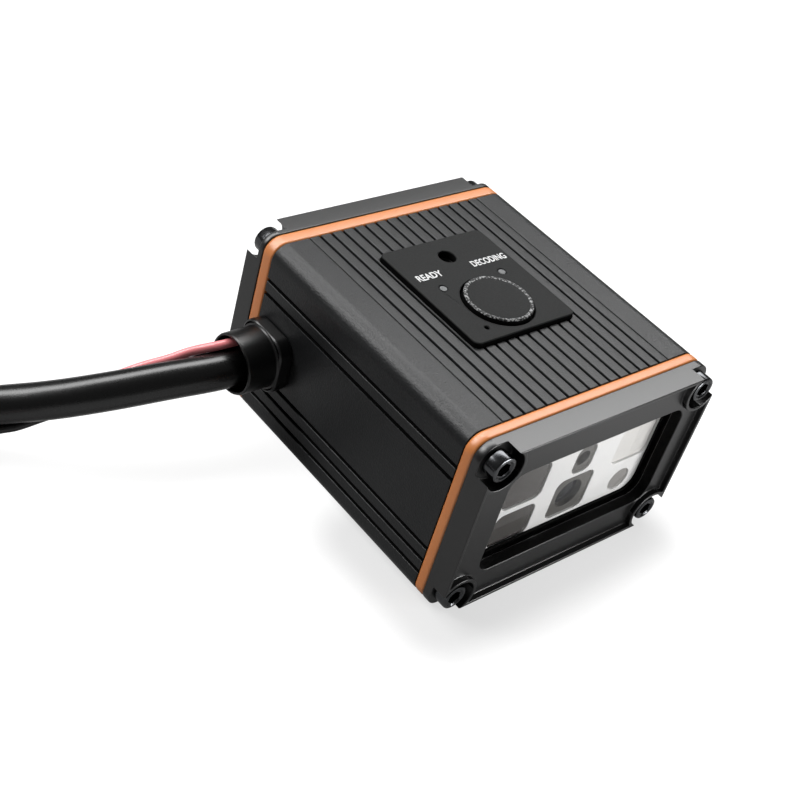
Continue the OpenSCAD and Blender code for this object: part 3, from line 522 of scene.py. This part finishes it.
print("route points:", len(cable_route), len(tail_route), len(red_route), len(black_route))


# %% [markdown]
# ## The coil
# The rest of the cable is put away in a flat coil of two layers. Its points are worked out by a loop instead
# of typed in: the lower layer winds in, the cable climbs, and the upper layer winds out again.

# %% The coil
COIL_CENTRE = (-142, 15)
COIL_OUTER_R = 42
COIL_INNER_R = 24
LOWER_Z = 4.1
UPPER_Z = 10.1
COIL_START_DEG = 69
WIND_IN_DEG = 1080
CLIMB_DEG = 60
WIND_OUT_DEG = 1035
COIL_STEP_DEG = 20


def coil_points():
    """The coil's turns, as points in millimetres."""
    wound_in = COIL_START_DEG + WIND_IN_DEG
    climbed = wound_in + CLIMB_DEG
    whole_turn = WIND_IN_DEG + CLIMB_DEG + WIND_OUT_DEG
    steps = math.ceil(whole_turn / COIL_STEP_DEG)
    points = []
    for i in range(steps + 1):
        turn = COIL_START_DEG + whole_turn * i / steps
        inward = min(turn - COIL_START_DEG, WIND_IN_DEG) / WIND_IN_DEG
        outward = max(turn - climbed, 0) / WIND_IN_DEG
        climb = min(max((turn - wound_in) / CLIMB_DEG, 0), 1)
        radius = COIL_OUTER_R - (COIL_OUTER_R - COIL_INNER_R) * (inward - outward)
        height = LOWER_Z + (UPPER_Z - LOWER_Z) * climb * climb * (3 - 2 * climb)
        angle = math.radians(turn)
        points.append((COIL_CENTRE[0] + radius * math.cos(angle),
                       COIL_CENTRE[1] + radius * math.sin(angle), height))
    return points


print("coil points:", len(coil_points()))


# %% [markdown]
# ## Cords
# A cord is one curve with a round bevel, because a curve keeps its thickness in every bend and can still be
# moved by its points. Automatic handles make it pass each point smoothly.

# %% Cords
ROUND_STEPS = 6
CURVE_STEPS = 8


def cord(name, points, diameter, finish, *stands_for):
    """A round cord through points in millimetres, as one smooth open curve."""
    curve = bpy.data.curves.new(name, "CURVE")
    curve.dimensions = "3D"
    curve.bevel_depth = diameter / 2 * MM
    curve.bevel_resolution = ROUND_STEPS
    curve.resolution_u = CURVE_STEPS
    curve.use_fill_caps = True
    line = curve.splines.new("BEZIER")
    line.bezier_points.add(len(points) - 1)
    for knot, point in zip(line.bezier_points, points):
        knot.co = Vector(point) * MM
        knot.handle_left_type = knot.handle_right_type = "AUTO"
    made = bpy.data.objects.new(name, curve)
    scene.collection.objects.link(made)
    curve.materials.append(FINISH[finish])
    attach(made, "housing")
    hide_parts(*stands_for)
    return made


cable = cord("cable_cord", cable_route + coil_points() + tail_route, CABLE_D, "black_jacket",
             "cable", "cable_coil", "cable_tail")
red_lead = cord("red_power_lead", red_route, LEAD_D, "red_jacket", "red_lead")
black_lead = cord("black_power_lead", black_route, LEAD_D, "black_jacket", "black_lead")
print("cords:", cable.name, red_lead.name, black_lead.name)


# %% [markdown]
# ## Rounded edges
# A machined or moulded edge is never razor sharp, and its small round is what catches the light. A copy of
# a solid is merged into whole faces, its sharp edges are rounded by a Bevel modifier, and the copy then
# stands for the solid. The Bevel modifier would by itself shrink a round to suit the shortest edge, so that
# limit is lifted, apart from the plug, whose overmould has short facets that a full round would fold over.

# %% Rounded edges
MERGE_DISTANCE = 0.001 * MM
SAME_PLANE = math.radians(0.5)
SHARP_EDGE = math.radians(35)
SMOOTH_BELOW = math.radians(55)
ROUND_SEGMENTS = 2
LARGE_FACE_WEIGHT = 100
SHORT_FACETS = ("usb_body",)


def only(piece):
    """Selects one piece and makes it active."""
    bpy.ops.object.select_all(action="DESELECT")
    piece.select_set(True)
    bpy.context.view_layer.objects.active = piece


def dress(piece, finish, body, node_name):
    """Gives a piece its finish, the body that it rides on and the node that it stands for."""
    piece.data.materials.clear()
    piece.data.materials.append(FINISH[finish])
    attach(piece, body)
    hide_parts(node_name)
    return piece


def rounded_copy(node_name, name, round_mm):
    """A copy of a node whose sharp edges are rounded."""
    made = bpy.data.objects.new(name, nodes[node_name].data.copy())
    scene.collection.objects.link(made)
    only(made)
    bpy.ops.mesh.customdata_custom_splitnormals_clear()
    bpy.ops.object.mode_set(mode="EDIT")
    bpy.ops.mesh.select_all(action="SELECT")
    bpy.ops.mesh.remove_doubles(threshold=MERGE_DISTANCE)
    bpy.ops.mesh.dissolve_limited(angle_limit=SAME_PLANE)
    bpy.ops.object.mode_set(mode="OBJECT")
    bpy.ops.object.shade_smooth()
    edge = made.modifiers.new("edge_round", "BEVEL")
    edge.width = round_mm * MM
    edge.segments = ROUND_SEGMENTS
    edge.limit_method = "ANGLE"
    edge.angle_limit = SHARP_EDGE
    edge.use_clamp_overlap = node_name in SHORT_FACETS
    bpy.ops.object.modifier_apply(modifier=edge.name)
    bpy.ops.object.shade_smooth_by_angle(angle=SMOOTH_BELOW)
    flat = made.modifiers.new("flat_faces", "WEIGHTED_NORMAL")
    flat.weight = LARGE_FACE_WEIGHT
    flat.keep_sharp = True
    bpy.ops.object.modifier_apply(modifier=flat.name)
    return dress(made, slot_of[node_name], "housing", node_name)


# Each node's visible piece, and the width of its rounded edges in millimetres.
ROUNDS = {
    "sleeve": ("grooved_sleeve", 0.12), "front_cap": ("front_end_cap", 0.14),
    "rear_cap": ("rear_end_cap", 0.18), "front_gasket": ("front_seal_gasket", 0.45),
    "rear_gasket": ("rear_seal_gasket", 0.45), "light_block": ("engine_light_block", 0.15),
    "led_lenses": ("led_lens_plates", 0.2), "camera_holder": ("camera_barrel_holder", 0.15),
    "aimer": ("aimer_block", 0.15), "top_panel": ("control_panel", 0.2), "gland": ("cable_gland", 0.35),
    "usb_body": ("plug_overmould", 0.6), "usb_shell": ("plug_shell", 0.1),
    "usb_insert": ("plug_tongue", 0.1), "cable_tie": ("coil_tie", 0.3),
    "lead_tips": ("tinned_lead_tips", 0.15),
}
# These pieces look different from the other pieces of their slot.
OWN_FINISH = {"gland": "gland_rubber", "camera_holder": "grey_barrel", "aimer": "grey_barrel"}
pieces = {}
for node_name, (name, round_mm) in ROUNDS.items():
    pieces[node_name] = rounded_copy(node_name, name, round_mm)
    print(name, "faces:", len(pieces[node_name].data.polygons))
for node_name, finish in OWN_FINISH.items():
    pieces[node_name].data.materials[0] = FINISH[finish]


# %% [markdown]
# ## Two kinds of lens
# The cells of the light block hold moulded lens plates. Those on the left are smoked and look grey; those on
# the right are frosted and look nearly white. All are one piece, so the faces on the right get a second
# finish: a material is added to the piece, and the faces are given its number.

# %% Two kinds of lens
def second_finish(piece, finish, chosen):
    """Adds a finish to a piece, for those of its faces that a test chooses."""
    piece.data.materials.append(FINISH[finish])
    number = len(piece.data.materials) - 1
    faces = [face for face in piece.data.polygons if chosen(face)]
    for face in faces:
        face.material_index = number
    print(piece.name, finish, "faces:", len(faces))


lens_low, lens_high = box_mm("led_lenses")
lens_middle_x = (lens_low.x + lens_high.x) / 2
second_finish(pieces["led_lenses"], "frosted_lens", lambda face: face.center.x / MM > lens_middle_x)


# %% [markdown]
# ## Painted shade in black
# The walls of the window's opening lie in shade, and a black finish with no sheen paints that shade on them.
# They are the faces of the front cap that run front to back inside the opening's frame. The upright sides of
# the control panel lie in shade too, and the same black paints it. So do the insides of the grooves in
# the sleeve's sides; only their lips catch the light.

# %% Painted shade in black
# A face runs along an axis if its normal leans towards that axis by less than this.
ALONG = 0.3
WINDOW_MARGIN = 0.9
GROOVE_LIP = 0.13
GROOVE_DEEP = 0.6
GROOVES_LOW_Z = 3.5
GROOVES_HIGH_Z = 27.0
opening_low, opening_high = box_mm("window_glass")
sleeve_low, sleeve_high = box_mm("sleeve")


def in_opening(face):
    """Whether a face of the front cap is a wall of the window's opening."""
    centre = face.center / MM
    inside = (opening_low.x - WINDOW_MARGIN < centre.x < opening_high.x + WINDOW_MARGIN
              and opening_low.z - WINDOW_MARGIN < centre.z < opening_high.z + WINDOW_MARGIN)
    return inside and abs(face.normal.y) < ALONG


def upright(face):
    """Whether a face stands upright."""
    return abs(face.normal.z) < ALONG


def in_side_groove(face):
    """Whether a face of the sleeve lies below the lips of the grooves in its sides."""
    centre = face.center / MM
    depth = min(centre.x - sleeve_low.x, sleeve_high.x - centre.x)
    return GROOVE_LIP < depth < GROOVE_DEEP and GROOVES_LOW_Z < centre.z < GROOVES_HIGH_Z


# Painted shade: the opening's walls, the panel's upright sides and the insides of the side grooves lie in
# shade, and this black paints it on them.
second_finish(pieces["front_cap"], "painted_shade_black", in_opening)
second_finish(pieces["top_panel"], "painted_shade_black", upright)
second_finish(pieces["sleeve"], "painted_shade_black", in_side_groove)


# %% [markdown]
# ## Turned pieces
# A cap screw and a push button are round, so both are built up as on a lathe: a disc is extruded step by
# step, and each step is scaled to its radius. A modifier could spin a profile too, but this way each step
# can be read as a radius and a height.

# %% Turned pieces
SMOOTH_TURNED = math.radians(40)
TURNED_SIDES = 96


def turned(name, centre, profile, sides=TURNED_SIDES):
    """A solid of revolution about an upright axis, from (radius, height) steps in millimetres."""
    bpy.ops.object.select_all(action="DESELECT")
    radius, height = profile[0]
    bpy.ops.mesh.primitive_circle_add(vertices=sides, radius=radius * MM, fill_type="NGON",
                                      location=(centre[0] * MM, centre[1] * MM, height * MM))
    made = bpy.context.object
    made.name = name
    bpy.ops.object.transform_apply(location=True, rotation=True, scale=True)
    bpy.ops.object.mode_set(mode="EDIT")
    bpy.ops.mesh.select_all(action="SELECT")
    for next_radius, next_height in profile[1:]:
        rise = (next_height - height) * MM
        bpy.ops.mesh.extrude_region_move(TRANSFORM_OT_translate={"value": (0, 0, rise)})
        share = next_radius / radius
        bpy.ops.transform.resize(value=(share, share, 1),
                                 center_override=(centre[0] * MM, centre[1] * MM, next_height * MM))
        radius, height = next_radius, next_height
    bpy.ops.mesh.select_all(action="SELECT")
    bpy.ops.mesh.remove_doubles(threshold=MERGE_DISTANCE)
    bpy.ops.mesh.normals_make_consistent(inside=False)
    bpy.ops.object.mode_set(mode="OBJECT")
    bpy.ops.object.shade_smooth_by_angle(angle=SMOOTH_TURNED)
    return made


print("turned edges stay sharp above", round(math.degrees(SMOOTH_TURNED)), "degrees")


# %% [markdown]
# ## Cap screws
# The caps are held by socket head screws. Their rims are rounded and their sockets are countersunk, which
# gives each head its two bright rings. The hex socket is cut by a Boolean modifier with a six-sided prism.
# For each cap one screw is made, and copies of it go to the other corners.

# %% Cap screws
SHANK_R = 1.25
TIP_SHARE = 0.7
TIP_CHAMFER = 0.4
HEAD_R = 2.2
HEAD_H = 2.4
HEAD_CHAMFER = 0.1
RIM = 0.32
COUNTERSINK_R = 1.6
COUNTERSINK = 0.22
SOCKET_CENTRE_R = 0.4
SOCKET_AF = 2.2
SOCKET_D = 1.4
SCREW_SIDES = 64
SMOOTH_SCREW = math.radians(30)


def cap_screw(name, length):
    """A socket head cap screw that stands on its tip at the origin."""
    neck = length - HEAD_H
    screw = turned(name, (0, 0), [
        (SHANK_R * TIP_SHARE, 0), (SHANK_R, TIP_CHAMFER), (SHANK_R, neck),
        (HEAD_R - HEAD_CHAMFER, neck), (HEAD_R, neck + HEAD_CHAMFER), (HEAD_R, length - RIM),
        (HEAD_R - HEAD_CHAMFER, length - HEAD_CHAMFER), (HEAD_R - RIM, length), (COUNTERSINK_R, length),
        (COUNTERSINK_R - COUNTERSINK, length - COUNTERSINK), (SOCKET_CENTRE_R, length - COUNTERSINK),
    ], sides=SCREW_SIDES)
    bpy.ops.object.select_all(action="DESELECT")
    bpy.ops.mesh.primitive_cylinder_add(vertices=6, radius=SOCKET_AF / math.sqrt(3) * MM,
                                        depth=2 * SOCKET_D * MM, location=(0, 0, length * MM))
    prism = bpy.context.object
    only(screw)
    socket = screw.modifiers.new("hex_socket", "BOOLEAN")
    socket.operation = "DIFFERENCE"
    socket.object = prism
    bpy.ops.object.modifier_apply(modifier=socket.name)
    bpy.data.objects.remove(prism)
    only(screw)
    bpy.ops.object.shade_smooth_by_angle(angle=SMOOTH_SCREW)
    return screw


def screw_set(node_name, name, facing):
    """Four cap screws for one cap; facing is -1 for the front cap and 1 for the rear cap."""
    low, high = box_mm(node_name)
    head_y, tip_y = (low.y, high.y) if facing < 0 else (high.y, low.y)
    first = cap_screw(name, abs(head_y - tip_y))
    first.rotation_euler.x = -facing * math.pi / 2
    places = [(x, z) for x in (low.x + HEAD_R, high.x - HEAD_R) for z in (low.z + HEAD_R, high.z - HEAD_R)]
    screws = [first]
    while len(screws) < len(places):
        only(first)
        bpy.ops.object.duplicate()
        screws.append(bpy.context.object)
    for screw, (x, z) in zip(screws, places):
        screw.location = Vector((x, tip_y, z)) * MM
    only(first)
    for screw in screws:
        screw.select_set(True)
    bpy.ops.object.join()
    bpy.ops.object.transform_apply(location=True, rotation=True, scale=True)
    return dress(first, "black_oxide_steel", "housing", node_name)


for node_name, name, facing in (
    ("front_screws", "front_cap_screws", -1),
    ("rear_screws", "rear_cap_screws", 1),
):
    pieces[node_name] = screw_set(node_name, name, facing)
    print(name, "faces:", len(pieces[node_name].data.polygons))


# %% [markdown]
# ## Push button
# The button is turned in the same way. A raised bead runs round its top; the real one is textured there, so
# that a thumb finds it, and the faces of the bead get a finish of their own, with painted glints. Its upright
# sides face the narrow gap in the panel, where little light falls, and that shade is painted on them in
# black.

# %% Push button
button_low, button_high = box_mm("push_button")
BUTTON_CENTRE = ((button_low.x + button_high.x) / 2, (button_low.y + button_high.y) / 2)
BUTTON_TOP = button_high.z
FLANGE_R = (button_high.x - button_low.x) / 2
FLANGE_LEDGE = 0.9
FLANGE_BASE = 30.7
FLANGE_TOP = 31.6
BUTTON_R = FLANGE_R - FLANGE_LEDGE
STEM_R = 2.0
BEAD_R = 5.1
BEAD_BAND = 0.3
DISH_CENTRE_R = 1.0
DISH_DROP = 0.14
# How far each step of the rounded outer edge lies inside the button's radius and below its top.
OUTER_EDGE = ((0, 0.4), (0.05, 0.2), (0.15, 0.06), (0.3, 0))
# How far each step of the bead's inner edge lies outside the dish's radius and below the top.
INNER_EDGE = ((0.15, 0.02), (0, 0.1), (-0.2, 0.12))

button = turned(
    "round_push_button", BUTTON_CENTRE,
    [(STEM_R, button_low.z), (STEM_R, FLANGE_BASE), (FLANGE_R, FLANGE_BASE), (FLANGE_R, FLANGE_TOP),
     (BUTTON_R, FLANGE_TOP)]
    + [(BUTTON_R - inset, BUTTON_TOP - drop) for inset, drop in OUTER_EDGE]
    + [(BEAD_R + outset, BUTTON_TOP - drop) for outset, drop in INNER_EDGE]
    + [(DISH_CENTRE_R, BUTTON_TOP - DISH_DROP)],
)
dress(button, "black_moulding", "button", "push_button")


def on_bead(face):
    """Whether a face of the button belongs to the bead round its top."""
    centre = face.center / MM
    reach = math.hypot(centre.x - BUTTON_CENTRE[0], centre.y - BUTTON_CENTRE[1])
    return reach > BEAD_R and centre.z > BUTTON_TOP - BEAD_BAND


# Painted highlight: the bead's faces get the finish with painted glints.
second_finish(button, "painted_glint_rim", on_bead)
# Painted shade: the button's upright sides stand in the panel's gap, and this black paints the shade there.
second_finish(button, "painted_shade_black", lambda face: upright(face) and not on_bead(face))


# %% [markdown]
# ## Words on the panel
# Two words in white ink name the two small lights. They are plain function words of our own. Text is turned
# into a mesh before it is placed, and it is a hair thick so that it lies on the panel instead of in it.

# %% Words on the panel
WORD_HEIGHT = 1.45
WORD_Y = 6.6
STROKE_SWELL = 0.022
INK = 0.02
panel_top = box_mm("top_panel")[1].z


def printed_word(name, word, left, right):
    """A word in ink on the panel's top, between two places in millimetres across."""
    bpy.ops.object.select_all(action="DESELECT")
    bpy.ops.object.text_add()
    made = bpy.context.object
    made.name = name
    made.data.body = word
    made.data.extrude = INK / 2
    made.data.offset = STROKE_SWELL
    bpy.ops.object.convert(target="MESH")
    wide, tall = made.dimensions.x, made.dimensions.y
    low_x = min(v.co.x for v in made.data.vertices)
    low_y = min(v.co.y for v in made.data.vertices)
    made.scale = ((right - left) * MM / wide, WORD_HEIGHT * MM / tall, MM)
    made.location = (left * MM - low_x * made.scale.x, WORD_Y * MM - low_y * made.scale.y,
                     (panel_top + INK / 2) * MM)
    bpy.ops.object.transform_apply(location=True, rotation=True, scale=True)
    made.data.materials.append(FINISH["white_ink"])
    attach(made, "housing")
    return made


words = [
    printed_word("word_left", "READY", left=-9.1, right=-4.0),
    printed_word("word_right", "DECODING", left=2.6, right=10.0),
]
print("word faces:", [len(word.data.polygons) for word in words])
